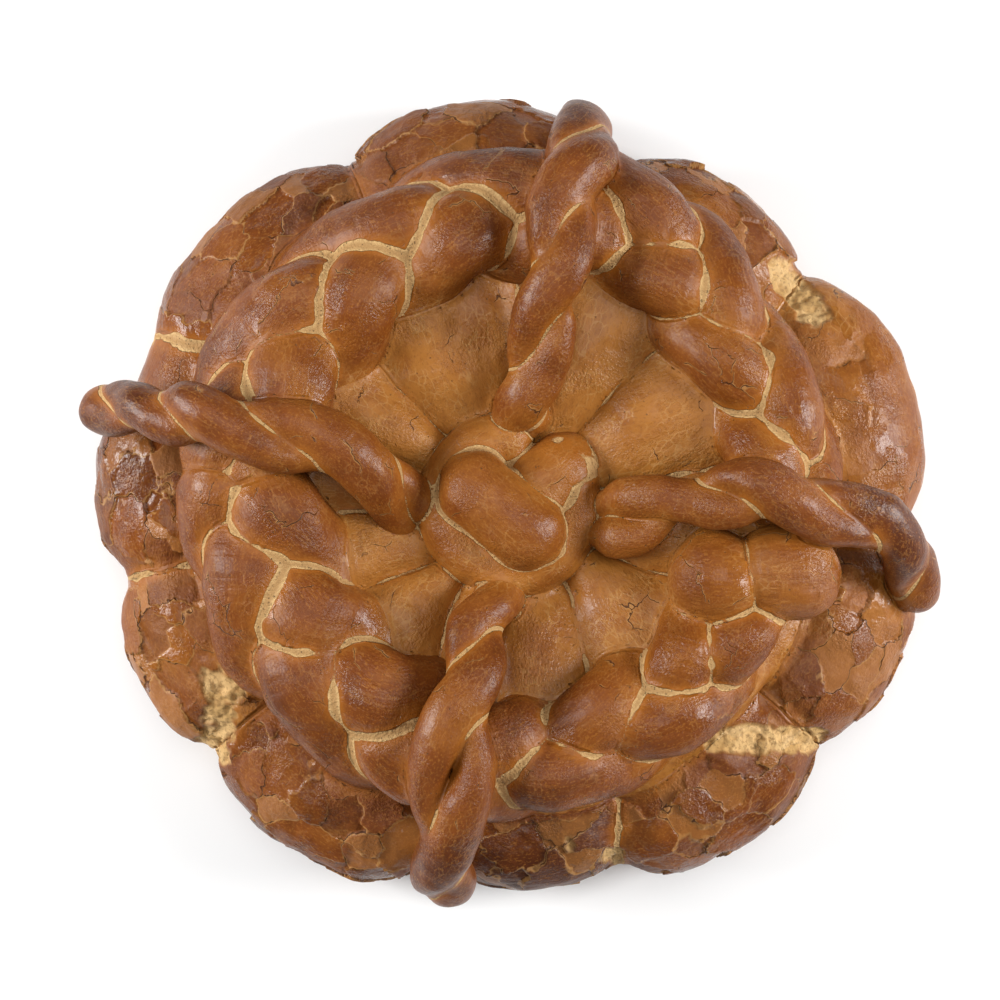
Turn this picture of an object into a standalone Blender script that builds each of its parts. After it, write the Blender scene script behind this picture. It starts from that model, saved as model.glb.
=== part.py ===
"""A round festive loaf of braided dough, baked into one piece.

A disc of fat dough lobes carries a ring of four three-strand braids. Four ropes, each twisted from two thin
strands, run from the middle over the braids and hang over the rim. A knotted bun closes the middle.
The loaf stands on the flat baked underside at z = 0, with the origin under the centre of its outline.
"""

import math

import bmesh
import bpy
import numpy as np
from mathutils import Vector

# Driving sizes of the loaf, in metres. Azimuths are in degrees, 0 along +X and 90 along +Y.
CRUMB_RADIUS = 0.165          # plain dough in the middle, hidden by everything laid on it
CRUMB_TOP = 0.062
LOBE_DEPTH = 0.046            # half of a rim lobe's width, measured along the radius
LOBE_MIDDLE_HEIGHT = 0.027
LOBE_RISE = 0.037             # from the middle of a lobe to its top
PETAL_REACH = (0.028, 0.150)  # where a petal starts and ends, from the centre
PETAL_HEIGHTS = (0.034, 0.051, 0.059, 0.057, 0.046)  # of a petal's middle, from its start to its end
PETAL_RISE = 0.0225
PETAL_DROP = 0.0345
BRAID_HEIGHT = 0.077          # middle line of the braids above the underside
BRAID_BOUNCE = 0.0085         # how far a strand climbs and dives at its crossings
BRAID_STRAND_RISE = 0.0155
BRAID_SKEW = 0.5              # how early a strand turns back at the sides of a braid
ROPE_FLATNESS = 0.65          # how much lower a rope's twist is than it is wide
ROPE_SWELL = 0.36             # how much wider a strand is where it lies on top
KNOT_HEIGHT = 0.067

SECTION_SIDES = 20
SAMPLE_STEP = 0.004
SKIN_CELL = 0.0032            # cell of the skin that is drawn over all the strands
SKIN_KEPT = 0.08             # share of the skin's faces kept after smoothing out the flat stretches
OUTLINE_CENTRE = (0.0005, 0.0042)  # middle of the loaf's outline, measured from the middle of the braids' circle
UNDERSIDE_TRIM = 0.002        # dough cut away to leave one flat face to rest on

# Rim lobes: azimuth, how many degrees each fills, and how far it reaches from the centre.
RIM_LOBES = (
    (97, 34, 0.207), (137, 42, 0.208), (159, 15, 0.200), (177, 25, 0.212), (205, 28, 0.209), (237, 36, 0.208),
    (275, 30, 0.197), (306, 34, 0.210), (338, 29, 0.214), (15, 40, 0.214), (54, 34, 0.199),
)
# Petals, the upper sides of the lobes that show around the knot: azimuth and degrees filled near the knot, then
# the same under the braids.
PETALS = (
    (28, 38, 28, 37), (67, 41, 67, 41), (111, 46, 111, 46), (147, 27, 147, 27), (172, 25, 171, 24),
    (202, 36, 196, 26), (228, 17, 228, 38), (249, 26, 256, 18), (287, 50, 280, 26), (321, 19, 316, 44),
    (350, 40, 354, 32),
)
# Braids: one row for every place where two seams meet, alternately on the inner and the outer side: azimuth, radius
# of the middle line and half width there. Before them, whether the first row is on the outer side and how far the
# braid leans.
BRAIDS = {
    "north_west": (True, -0.004, (
        (177, 0.128, 0.036), (164, 0.129, 0.037), (151.7, 0.130, 0.037), (137.1, 0.131, 0.036),
        (125.9, 0.133, 0.033), (112, 0.135, 0.032), (101.1, 0.139, 0.033), (88, 0.143, 0.033), (77, 0.144, 0.033),
    )),
    "north_east": (False, -0.002, (
        (86, 0.146, 0.033), (75, 0.145, 0.033), (64.9, 0.144, 0.0325), (54.1, 0.140, 0.031), (44.4, 0.134, 0.029),
        (32.9, 0.131, 0.028), (19.5, 0.133, 0.029), (8.3, 0.131, 0.030), (-4, 0.128, 0.030),
    )),
    "south_east": (True, 0.0, (
        (-20, 0.120, 0.028), (-31.2, 0.118, 0.028), (-42.3, 0.118, 0.029), (-53.9, 0.117, 0.031),
        (-67.3, 0.117, 0.032), (-82.2, 0.121, 0.031), (-92, 0.122, 0.031), (-104, 0.124, 0.031),
    )),
    "south_west": (True, -0.002, (
        (260, 0.120, 0.036), (247.7, 0.119, 0.036), (235.9, 0.119, 0.037), (219.6, 0.118, 0.037),
        (209, 0.120, 0.038), (194.8, 0.119, 0.038), (183.1, 0.122, 0.039), (170.3, 0.126, 0.038),
    )),
}
# Ropes: one row for every place that shapes a rope, from the knot outwards: half turns made (at a whole number one
# strand lies on top of the other), x, y and height of the middle line, each strand's distance from it and half its
# width.
ROPES = {
    "north": (
        (-0.55, 0.004, 0.037, 0.066, 0.0070, 0.0085), (0, 0.0086, 0.0547, 0.081, 0.0075, 0.0092),
        (1, 0.0201, 0.1044, 0.104, 0.0078, 0.0084), (2, 0.0279, 0.1520, 0.101, 0.0078, 0.0110),
        (2.7, 0.0350, 0.175, 0.083, 0.0065, 0.0100), (3.1, 0.0375, 0.1865, 0.060, 0.0045, 0.0100),
    ),
    "west": (
        (-0.65, -0.0440, -0.0090, 0.066, 0.0060, 0.0085), (0, -0.0735, 0.0225, 0.093, 0.0072, 0.0106),
        (1, -0.1380, 0.0395, 0.106, 0.0072, 0.0094), (2, -0.1685, 0.0435, 0.094, 0.0062, 0.0084),
        (3, -0.2050, 0.0505, 0.062, 0.0050, 0.0094),
    ),
    "south": (
        (-0.6, -0.0020, -0.0370, 0.064, 0.0035, 0.0085), (0, -0.0126, -0.0528, 0.082, 0.0060, 0.0086),
        (1, -0.0199, -0.0874, 0.103, 0.0080, 0.0094), (1.5, -0.0280, -0.1250, 0.104, 0.0112, 0.0100),
        (2, -0.0318, -0.1650, 0.084, 0.0075, 0.0102), (3, -0.0325, -0.1920, 0.046, 0.0040, 0.0106),
    ),
    "east": (
        (-0.8, 0.0410, -0.0080, 0.071, 0.0095, 0.0088), (-0.45, 0.0600, -0.0045, 0.083, 0.0095, 0.0088),
        (0, 0.0823, 0.0025, 0.092, 0.0080, 0.0080), (1, 0.1258, 0.0041, 0.106, 0.0078, 0.0094),
        (2, 0.1860, -0.0160, 0.084, 0.0060, 0.0086), (3, 0.2010, -0.0490, 0.046, 0.0040, 0.0092),
    ),
}
KNOT_COIL = (0.031, 0.0140, 0.0130)  # radius of the coil in the knot, half width and half thickness
# Short thick pieces of dough: points of the middle line, half width, half thickness and length of the round ends.
# The first two are the roll that starts the south-east braid, the others lie on the knot's coil.
BUNS = (
    (((0.076, -0.035, 0.079), (0.098, -0.035, 0.084), (0.121, -0.033, 0.081)), 0.0235, 0.0205, 0.024),
    (((0.106, -0.031, 0.080), (0.132, -0.032, 0.084), (0.158, -0.030, 0.077)), 0.0235, 0.0205, 0.024),
    (((-0.004, -0.006, 0.068), (0.016, 0.010, 0.072), (0.038, 0.029, 0.062)), 0.0165, 0.0140, 0.018),
    (((-0.0300, 0.0188, 0.079), (-0.0043, -0.0030, 0.084), (0.0214, -0.0248, 0.079)), 0.0187, 0.0160, 0.018),
)


def on_circle(azimuth, radius, height):
    """Point at an azimuth in degrees, a radius and a height."""
    turn = math.radians(azimuth)
    return np.array((radius * math.cos(turn), radius * math.sin(turn), height))


def flowing_line(points, step=SAMPLE_STEP):
    """A smooth line through the points, sampled evenly, with the running number of the points as last column."""
    points = np.asarray(points, float)
    points = np.column_stack((points, np.arange(len(points))))
    before = np.vstack((2 * points[0] - points[1], points, 2 * points[-1] - points[-2]))
    fine = []
    for a, b, c, d in zip(before, before[1:], before[2:], before[3:]):
        t = np.linspace(0, 1, 24, endpoint=False)[:, None]
        fine.append(0.5 * (2 * b + (c - a) * t + (2 * a - 5 * b + 4 * c - d) * t**2 + (3 * b - a - 3 * c + d) * t**3))
    fine = np.vstack(fine + [points[-1:]])
    along = np.concatenate(([0], np.cumsum(np.linalg.norm(np.diff(fine[:, :3], axis=0), axis=1))))
    count = max(6, int(along[-1] / step) + 1)
    even = np.linspace(0, along[-1], count)
    return np.column_stack([np.interp(even, along, column) for column in fine.T])


def rounded_ends(line, start, end):
    """Share of the full thickness along a line whose two ends are domes of the given lengths."""
    along = np.concatenate(([0], np.cumsum(np.linalg.norm(np.diff(line, axis=0), axis=1))))
    from_start = np.clip(along / start, 0.02, 1)
    from_end = np.clip((along[-1] - along) / end, 0.02, 1)
    return np.sqrt(1 - (1 - from_start) ** 2) * np.sqrt(1 - (1 - from_end) ** 2)


def directions(line):
    """The directions ahead, to the side and up at each point of a line."""
    ahead = np.gradient(line, axis=0)
    ahead /= np.linalg.norm(ahead, axis=1)[:, None]
    side = np.cross(ahead, (0, 0, 1))
    side /= np.linalg.norm(side, axis=1)[:, None]
    return ahead, side, np.cross(side, ahead)


def add_strand(dough, line, half_width, half_rise, half_drop=None, squareness=2.0):
    """Adds a closed strand of dough around a line. Its upper half is an ellipse, its lower half may be squarer."""
    count = len(line)
    half_width = np.broadcast_to(half_width, count)
    half_rise = np.broadcast_to(half_rise, count)
    half_drop = half_rise if half_drop is None else np.broadcast_to(half_drop, count)
    _, side, up = directions(line)
    rings = []
    for i in range(count):
        ring = []
        for k in range(SECTION_SIDES):
            angle = 2 * math.pi * k / SECTION_SIDES
            power = 2 / (squareness if math.sin(angle) < 0 else 2)
            out = math.copysign(abs(math.cos(angle)) ** power, math.cos(angle))
            lift = math.copysign(abs(math.sin(angle)) ** power, math.sin(angle))
            tall = half_rise[i] if lift > 0 else half_drop[i]
            ring.append(dough.verts.new(line[i] + side[i] * out * half_width[i] + up[i] * lift * tall))
        rings.append(ring)
    for one, two in zip(rings, rings[1:]):
        for k in range(SECTION_SIDES):
            n = (k + 1) % SECTION_SIDES
            dough.faces.new((one[k], one[n], two[n], two[k]))
    dough.faces.new(rings[0][::-1])
    dough.faces.new(rings[-1])


def add_crumb(dough):
    """The plain dough in the middle, a low dome."""
    made = bmesh.ops.create_uvsphere(dough, u_segments=48, v_segments=20, radius=1)
    for vert in made["verts"]:
        vert.co = Vector((vert.co.x * CRUMB_RADIUS, vert.co.y * CRUMB_RADIUS, vert.co.z * CRUMB_TOP))


def add_rim_lobe(dough, azimuth, fill, reach):
    """A fat lobe of dough that bulges over the tray at the rim."""
    overlap = 5
    turns = np.linspace(-fill / 2 - overlap, fill / 2 + overlap, 5)
    line = flowing_line([on_circle(azimuth + t, reach - LOBE_DEPTH, LOBE_MIDDLE_HEIGHT) for t in turns])[:, :3]
    half_length = math.radians(fill / 2 + overlap) * (reach - LOBE_DEPTH)
    full = rounded_ends(line, 0.85 * half_length, 0.85 * half_length)
    drop = LOBE_MIDDLE_HEIGHT + UNDERSIDE_TRIM
    add_strand(dough, line, LOBE_DEPTH * full, LOBE_RISE * full**0.7, drop * full**0.3, squareness=3.2)


def add_petal(dough, azimuth, fill, outer_azimuth, outer_fill):
    """The wedge-shaped upper side of a lobe, between the knot and the braids."""
    radii = np.linspace(*PETAL_REACH, 5)
    azimuths = azimuth + (outer_azimuth - azimuth) * share_outwards(radii)
    line = flowing_line([on_circle(*place) for place in zip(azimuths, radii, PETAL_HEIGHTS)])[:, :3]
    radius = np.hypot(line[:, 0], line[:, 1])
    fills = fill + (outer_fill - fill) * share_outwards(radius)
    half_width = 1.28 * radius * np.tan(np.radians(fills / 2))
    full = rounded_ends(line, 0.014, 0.020)
    add_strand(dough, line, half_width * full, PETAL_RISE * full**0.6, PETAL_DROP * full**0.6)


def share_outwards(radius):
    """How far a petal has changed from its inner to its outer width at a radius, 0 to 1."""
    return np.clip((radius - 0.040) / 0.050, 0, 1)


def add_braid(dough, outer_first, lean, corners):
    """Three strands that take turns on the outer side, each crossing over the last one on its way inwards."""
    azimuths, radii, half_widths = np.transpose(corners)
    rows = flowing_line([on_circle(a, r, BRAID_HEIGHT) for a, r in zip(azimuths, radii)])
    half_width = np.interp(rows[:, 3], np.arange(len(corners)), half_widths)
    _, side, _ = directions(rows[:, :3])
    for strand in range(3):
        phase = math.pi * (0.75 + (rows[:, 3] + outer_first) / 3 + 2 * strand / 3)
        sway = np.sin(phase + BRAID_SKEW * np.sin(phase) ** 2)
        over = -np.sin(2 * phase)
        line = rows[:, :3] - (0.53 * half_width * sway)[:, None] * side
        line[:, 2] += BRAID_BOUNCE * over + lean * sway
        full = rounded_ends(line, 0.02, 0.02) * (1 + 0.08 * over)
        add_strand(dough, line, 0.55 * half_width * full, BRAID_STRAND_RISE * full)


def add_rope(dough, bends):
    """Two thin strands twisted round each other along a line that climbs over the braid and hangs over the rim."""
    half_turns, *places, sways, half_widths = np.transpose(bends)
    rows = flowing_line(np.transpose((*places, sways, half_widths, half_turns)))
    middle = rows[:, :3]
    _, side, up = directions(middle)
    together = rows[:, 3] * rounded_ends(middle, 0.012, 0.022)
    thickness = rows[:, 4] * rounded_ends(middle, 0.012, 0.012)
    for strand in range(2):
        phase = math.pi * (rows[:, 5] + strand)
        rise = (1 - ROPE_FLATNESS) * np.cos(phase)
        away = together[:, None] * (np.sin(phase)[:, None] * side + rise[:, None] * up)
        full = 1 + ROPE_SWELL * np.cos(phase)
        add_strand(dough, middle + away, thickness * full, thickness * np.sqrt(full))


def add_knot(dough):
    """The coil of the strand that is knotted in the middle."""
    radius, half_width, half_rise = KNOT_COIL
    coil = flowing_line([on_circle(a, radius, KNOT_HEIGHT) for a in np.linspace(-290, 62, 15)])[:, :3]
    full = rounded_ends(coil, 0.012, 0.012)
    add_strand(dough, coil, half_width * full, half_rise * full)


def add_bun(dough, points, half_width, half_rise, dome):
    """A short thick piece of dough with round ends."""
    bun = flowing_line(points)[:, :3]
    full = rounded_ends(bun, dome, dome)
    add_strand(dough, bun, half_width * full, half_rise * full)


def crust_material():
    """Glossy brown crust."""
    material = bpy.data.materials.new("crust")
    material.use_nodes = True
    shader = material.node_tree.nodes["Principled BSDF"]
    shader.inputs["Base Color"].default_value = (0.29, 0.105, 0.032, 1)
    shader.inputs["Roughness"].default_value = 0.38
    shader.inputs["Metallic"].default_value = 0
    return material


def trim_tool():
    """A block under z = 0 that cuts the underside flat."""
    block = bmesh.new()
    bmesh.ops.create_cube(block, size=1)
    for vert in block.verts:
        vert.co = Vector((vert.co.x * 0.6, vert.co.y * 0.6, (vert.co.z - 0.5) * 0.1))
    mesh = bpy.data.meshes.new("underside_cutter")
    block.to_mesh(mesh)
    block.free()
    cutter = bpy.data.objects.new("underside_cutter", mesh)
    cutter.hide_render = True
    cutter.display_type = "WIRE"
    bpy.context.scene.collection.objects.link(cutter)
    return cutter


def build_loaf():
    """Lays all the strands, draws one skin over them and cuts the underside flat."""
    dough = bmesh.new()
    add_crumb(dough)
    for lobe in RIM_LOBES:
        add_rim_lobe(dough, *lobe)
    for petal in PETALS:
        add_petal(dough, *petal)
    for braid in BRAIDS.values():
        add_braid(dough, *braid)
    for bends in ROPES.values():
        add_rope(dough, bends)
    add_knot(dough)
    for bun in BUNS:
        add_bun(dough, *bun)
    bmesh.ops.translate(dough, verts=dough.verts, vec=(-OUTLINE_CENTRE[0], -OUTLINE_CENTRE[1], 0))
    mesh = bpy.data.meshes.new("loaf")
    dough.to_mesh(mesh)
    dough.free()
    mesh.materials.append(crust_material())
    loaf = bpy.data.objects.new("loaf", mesh)
    bpy.context.scene.collection.objects.link(loaf)
    skin = loaf.modifiers.new("skin", "REMESH")
    skin.mode = "VOXEL"
    skin.voxel_size = SKIN_CELL
    fewer = loaf.modifiers.new("fewer_faces", "DECIMATE")
    fewer.ratio = SKIN_KEPT
    trim = loaf.modifiers.new("flat_underside", "BOOLEAN")
    trim.operation = "DIFFERENCE"
    trim.object = trim_tool()
    return loaf


for old in list(bpy.data.objects):
    bpy.data.objects.remove(old)
build_loaf()
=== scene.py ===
import math

import bmesh
import bpy
import numpy as np
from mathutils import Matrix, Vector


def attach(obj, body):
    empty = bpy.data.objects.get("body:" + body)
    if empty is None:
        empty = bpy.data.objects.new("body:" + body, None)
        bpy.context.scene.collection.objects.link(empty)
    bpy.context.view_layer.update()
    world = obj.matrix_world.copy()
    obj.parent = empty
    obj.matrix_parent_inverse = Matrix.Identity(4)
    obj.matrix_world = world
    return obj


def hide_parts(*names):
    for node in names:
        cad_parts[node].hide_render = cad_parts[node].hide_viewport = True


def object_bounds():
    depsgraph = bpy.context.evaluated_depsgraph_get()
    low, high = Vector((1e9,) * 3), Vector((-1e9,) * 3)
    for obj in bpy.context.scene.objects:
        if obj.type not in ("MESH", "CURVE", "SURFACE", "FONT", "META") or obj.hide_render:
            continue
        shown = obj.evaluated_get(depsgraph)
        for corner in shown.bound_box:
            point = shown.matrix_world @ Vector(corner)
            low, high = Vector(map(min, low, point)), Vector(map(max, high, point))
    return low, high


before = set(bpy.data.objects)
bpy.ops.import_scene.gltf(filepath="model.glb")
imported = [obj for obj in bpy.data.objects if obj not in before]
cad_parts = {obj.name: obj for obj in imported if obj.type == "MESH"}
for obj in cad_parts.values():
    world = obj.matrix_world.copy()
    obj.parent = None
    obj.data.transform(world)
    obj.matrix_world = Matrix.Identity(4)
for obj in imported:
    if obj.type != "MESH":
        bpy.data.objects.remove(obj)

import openvdb
from mathutils import Vector

cad_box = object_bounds()


# ---- How the dough is laid -----------------------------------------------------------------------------------------
# The loaf is built as a baker builds it: every strand of soft dough is rolled, laid along a line and woven or twisted
# with its neighbours. A strand is a closed solid. In the oven the strands grow together under one crust, further down.

OUTLINE_CENTRE = (0.0005, 0.0042)   # middle of the outline, measured from the middle of the braids' circle
ROUND_SECTION = 28                  # points round a strand
STEP_ALONG = 0.003                  # between the rings of a strand


def join(tree, kind, inputs=None, **settings):
    """Adds a node to a tree, sets what it is told, and fills or connects its inputs by name or number."""
    node = tree.nodes.new(kind)
    for name, value in settings.items():
        setattr(node, name, value)
    for key, value in (inputs or {}).items():
        if isinstance(value, bpy.types.NodeSocket):
            tree.links.new(value, node.inputs[key])
        else:
            node.inputs[key].default_value = value
    return node


def number(tree, operation, *values):
    """A sum, product or other rule on numbers."""
    return join(tree, "ShaderNodeMath", dict(enumerate(values)), operation=operation).outputs[0]


def vector(tree, operation, *values):
    """A rule on vectors. A scale takes its factor as second value."""
    if operation == "SCALE":
        return join(tree, "ShaderNodeVectorMath", {0: values[0], "Scale": values[1]}, operation=operation).outputs[0]
    return join(tree, "ShaderNodeVectorMath", dict(enumerate(values)), operation=operation).outputs[0]


def stored(tree, name, kind="FLOAT"):
    """Reads a value that the dough carries at each point."""
    return join(tree, "GeometryNodeInputNamedAttribute", {"Name": name}, data_type=kind).outputs["Attribute"]


def with_value(tree, dough, name, value, kind="FLOAT"):
    """Writes a value onto each point of the dough."""
    node = join(tree, "GeometryNodeStoreNamedAttribute", {"Geometry": dough, "Name": name, "Value": value},
                data_type=kind, domain="POINT")
    return node.outputs["Geometry"]


def size_input(tree, name, kind, value):
    """A named input for one of the sizes of a tree."""
    socket = tree.interface.new_socket(name=name, in_out="INPUT", socket_type=kind)
    socket.default_value = value
    return socket.identifier


def rolled_strands():
    """Geometry Nodes that weave or twist strands of dough along a middle line and give them their thickness."""
    tree = bpy.data.node_groups.new("rolled_strands", "GeometryNodeTree")
    tree.interface.new_socket(name="Middle Line", in_out="INPUT", socket_type="NodeSocketGeometry")
    names = {
        "strands": size_input(tree, "Strands", "NodeSocketInt", 1),
        "twisted": size_input(tree, "Twisted", "NodeSocketBool", False),
        "bounce": size_input(tree, "Bounce", "NodeSocketFloat", 0.0),
        "lean": size_input(tree, "Lean", "NodeSocketFloat", 0.0),
        "skew": size_input(tree, "Skew", "NodeSocketFloat", 0.0),
        "flatness": size_input(tree, "Flatness of Twist", "NodeSocketFloat", 0.5),
        "swell": size_input(tree, "Swell", "NodeSocketFloat", 0.0),
        "squareness": size_input(tree, "Lower Squareness", "NodeSocketFloat", 2.0),
        "sides": size_input(tree, "Points Round", "NodeSocketInt", ROUND_SECTION),
    }
    tree.interface.new_socket(name="Dough", in_out="OUTPUT", socket_type="NodeSocketGeometry")
    given = tree.nodes.new("NodeGroupInput").outputs
    line = join(tree, "GeometryNodeMeshToCurve", {0: given["Middle Line"]}).outputs[0]
    several = join(tree, "GeometryNodeDuplicateElements", {"Geometry": line, "Amount": given["Strands"]},
                   domain="SPLINE")
    index = several.outputs["Duplicate Index"]
    share = number(tree, "DIVIDE", number(tree, "MULTIPLY", index, math.tau), given["Strands"])
    phase = number(tree, "ADD", number(tree, "MULTIPLY", stored(tree, "turn"), math.pi), share)
    sine = number(tree, "SINE", phase)
    skewed = number(tree, "MULTIPLY", number(tree, "MULTIPLY", sine, sine), given["Skew"])
    sine = number(tree, "SINE", number(tree, "ADD", phase, skewed))
    over = number(tree, "MULTIPLY", number(tree, "SINE", number(tree, "MULTIPLY", phase, 2.0)), -1.0)

    def directions():
        ahead = tree.nodes.new("GeometryNodeInputTangent").outputs[0]
        across = vector(tree, "NORMALIZE", vector(tree, "CROSS_PRODUCT", ahead, (0, 0, 1)))
        return ahead, across, vector(tree, "CROSS_PRODUCT", across, ahead)

    ahead, across, lift = directions()
    sway = stored(tree, "sway")
    sideways = vector(tree, "SCALE", across, number(tree, "MULTIPLY", sway, sine))
    rise = number(tree, "MULTIPLY", sway, number(tree, "COSINE", phase))
    rise = number(tree, "MULTIPLY", rise, number(tree, "SUBTRACT", 1.0, given["Flatness of Twist"]))
    twist = vector(tree, "ADD", sideways, vector(tree, "SCALE", lift, rise))
    height = number(tree, "MULTIPLY_ADD", given["Bounce"], over, number(tree, "MULTIPLY", given["Lean"], sine))
    climb = join(tree, "ShaderNodeCombineXYZ", {"Z": height}).outputs[0]
    weave = vector(tree, "ADD", sideways, climb)
    path = join(tree, "GeometryNodeSwitch", {"Switch": given["Twisted"], "False": weave, "True": twist},
                input_type="VECTOR").outputs[0]
    dough = several.outputs["Geometry"]
    dough = with_value(tree, dough, "strand", index, "INT")
    on_top = join(tree, "ShaderNodeMix", {"Factor": given["Twisted"], "A": over, "B": number(tree, "COSINE", phase)},
                  data_type="FLOAT").outputs["Result"]
    dough = with_value(tree, dough, "full", number(tree, "MULTIPLY_ADD", on_top, given["Swell"], 1.0))
    dough = join(tree, "GeometryNodeSetPosition", {"Geometry": dough, "Offset": path}).outputs[0]
    ahead, across, lift = directions()
    along = tree.nodes.new("GeometryNodeSplineParameter").outputs["Length"]
    dough = with_value(tree, dough, "along", along)
    dough = with_value(tree, dough, "ahead", ahead, "FLOAT_VECTOR")
    dough = with_value(tree, dough, "across", across, "FLOAT_VECTOR")
    dough = with_value(tree, dough, "lift", lift, "FLOAT_VECTOR")
    middle = tree.nodes.new("GeometryNodeInputPosition").outputs[0]
    dough = with_value(tree, dough, "middle", middle, "FLOAT_VECTOR")

    section = join(tree, "GeometryNodeCurvePrimitiveCircle", {"Resolution": given["Points Round"], "Radius": 1.0})
    point = tree.nodes.new("GeometryNodeInputIndex").outputs[0]
    angle = number(tree, "DIVIDE", number(tree, "MULTIPLY", point, math.tau), given["Points Round"])
    section = with_value(tree, section.outputs["Curve"], "angle", angle)
    dough = join(tree, "GeometryNodeCurveToMesh", {"Curve": dough, "Profile Curve": section,
                                                  "Fill Caps": True}).outputs[0]

    angle = stored(tree, "angle")
    cosine, sine = number(tree, "COSINE", angle), number(tree, "SINE", angle)
    below = number(tree, "LESS_THAN", sine, 0.0)
    power = number(tree, "DIVIDE", 2.0, join(tree, "ShaderNodeMix", {
        "Factor": below, "A": 2.0, "B": given["Lower Squareness"]}, data_type="FLOAT").outputs["Result"])

    def squared(value):
        return number(tree, "MULTIPLY", number(tree, "SIGN", value),
                      number(tree, "POWER", number(tree, "ABSOLUTE", value), power))

    full = stored(tree, "full")
    half_height = join(tree, "ShaderNodeMix", {"Factor": below, "A": stored(tree, "half_rise"),
                                               "B": stored(tree, "half_drop")}, data_type="FLOAT").outputs["Result"]
    out = number(tree, "MULTIPLY", number(tree, "MULTIPLY", stored(tree, "half_width"), full), squared(cosine))
    up = number(tree, "MULTIPLY", number(tree, "MULTIPLY", half_height, number(tree, "SQRT", full)), squared(sine))
    place = vector(tree, "ADD", stored(tree, "middle", "FLOAT_VECTOR"),
                   vector(tree, "ADD", vector(tree, "SCALE", stored(tree, "across", "FLOAT_VECTOR"), out),
                          vector(tree, "SCALE", stored(tree, "lift", "FLOAT_VECTOR"), up)))
    dough = join(tree, "GeometryNodeSetPosition", {"Geometry": dough, "Position": place}).outputs[0]
    dough = join(tree, "GeometryNodeRealizeInstances", {"Geometry": dough}).outputs[0]
    dough = join(tree, "GeometryNodeSetMaterial", {"Geometry": dough, "Material": crust}).outputs[0]
    tree.links.new(dough, tree.nodes.new("NodeGroupOutput").inputs[0])
    return tree, names


def lay_strands(line, half_width, half_rise, half_drop=None, turn=0.0, sway=0.0, **sizes):
    """Lays one or several strands along a middle line and returns them as a plain mesh."""
    mesh = bpy.data.meshes.new("middle_line")
    mesh.from_pydata([tuple(p) for p in line], [(i, i + 1) for i in range(len(line) - 1)], [])
    half_drop = half_rise if half_drop is None else half_drop
    for name, value in (("turn", turn), ("sway", sway), ("half_width", half_width), ("half_rise", half_rise),
                        ("half_drop", half_drop)):
        values = np.ascontiguousarray(np.broadcast_to(value, len(line)), np.float32)
        mesh.attributes.new(name, "FLOAT", "POINT").data.foreach_set("value", values)
    dough = bpy.data.objects.new("middle_line", mesh)
    bpy.context.scene.collection.objects.link(dough)
    rolling = dough.modifiers.new("rolled_strands", "NODES")
    rolling.node_group = strands_tree
    for name, value in sizes.items():
        rolling[strand_inputs[name]] = value
    laid = bpy.data.meshes.new_from_object(dough.evaluated_get(bpy.context.evaluated_depsgraph_get()))
    bpy.data.objects.remove(dough)
    return laid


def flowing_line(points, step=STEP_ALONG):
    """A smooth line through the points, sampled evenly, with the running number of the points as last column."""
    points = np.asarray(points, float)
    points = np.column_stack((points, np.arange(len(points))))
    before = np.vstack((2 * points[0] - points[1], points, 2 * points[-1] - points[-2]))
    fine = []
    for a, b, c, d in zip(before, before[1:], before[2:], before[3:]):
        t = np.linspace(0, 1, 24, endpoint=False)[:, None]
        fine.append(0.5 * (2 * b + (c - a) * t + (2 * a - 5 * b + 4 * c - d) * t**2 + (3 * b - a - 3 * c + d) * t**3))
    fine = np.vstack(fine + [points[-1:]])
    along = np.concatenate(([0], np.cumsum(np.linalg.norm(np.diff(fine[:, :3], axis=0), axis=1))))
    count = max(8, int(along[-1] / step) + 1)
    even = np.linspace(0, along[-1], count)
    line = np.column_stack([np.interp(even, along, column) for column in fine.T])
    line[:, :2] -= OUTLINE_CENTRE
    return line


def rounded_ends(line, start, end):
    """Share of the full thickness along a line whose two ends are domes of the given lengths."""
    along = np.concatenate(([0], np.cumsum(np.linalg.norm(np.diff(line[:, :3], axis=0), axis=1))))
    from_start = np.clip(along / start, 0.02, 1)
    from_end = np.clip((along[-1] - along) / end, 0.02, 1)
    return np.sqrt(1 - (1 - from_start) ** 2) * np.sqrt(1 - (1 - from_end) ** 2)


def on_circle(azimuth, radius, height):
    """Point at an azimuth in degrees, a radius and a height."""
    return (radius * math.cos(math.radians(azimuth)), radius * math.sin(math.radians(azimuth)), height)


crust = bpy.data.materials.new("glazed_crust")
strands_tree, strand_inputs = rolled_strands()


# ---- How the strands grow together ---------------------------------------------------------------------------------
# All strands are entered into one fine lattice that holds, for every place, the distance to the nearest strand and
# to the second nearest. Where both are close the two strands have grown together in a seam.

CELL = 0.0010                       # lattice spacing
REACH = 0.009                       # how far from a strand its distance is known
SEAM_FILLET = 0.0045                # how far the skin bridges the crease between two strands

lattice_low = np.floor((np.array(cad_box[0]) - 0.016) / CELL).astype(int)
lattice_shape = np.ceil((np.array(cad_box[1]) + 0.016) / CELL).astype(int) - lattice_low
nearest = np.full(lattice_shape, REACH, np.float32)
second = np.full(lattice_shape, REACH, np.float32)
owner = np.zeros(lattice_shape, np.int16)
rival = np.zeros(lattice_shape, np.int16)
laid_strands = []                   # of each strand: its piece, its lines and how it bakes
pieces = {}                         # of each piece: where it lies in the lattice and the distance to its own strands


def mesh_values(mesh, name, width=1):
    """Values that a mesh carries at its points."""
    if name == "co":
        values = np.empty(len(mesh.vertices) * 3, np.float32)
        mesh.vertices.foreach_get("co", values)
        return values.reshape(-1, 3)
    data = mesh.attributes[name].data
    values = np.empty(len(data) * width, np.int32 if name == "strand" else np.float32)
    data.foreach_get("vector" if width == 3 else "value", values)
    return values.reshape(-1, width) if width == 3 else values


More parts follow.
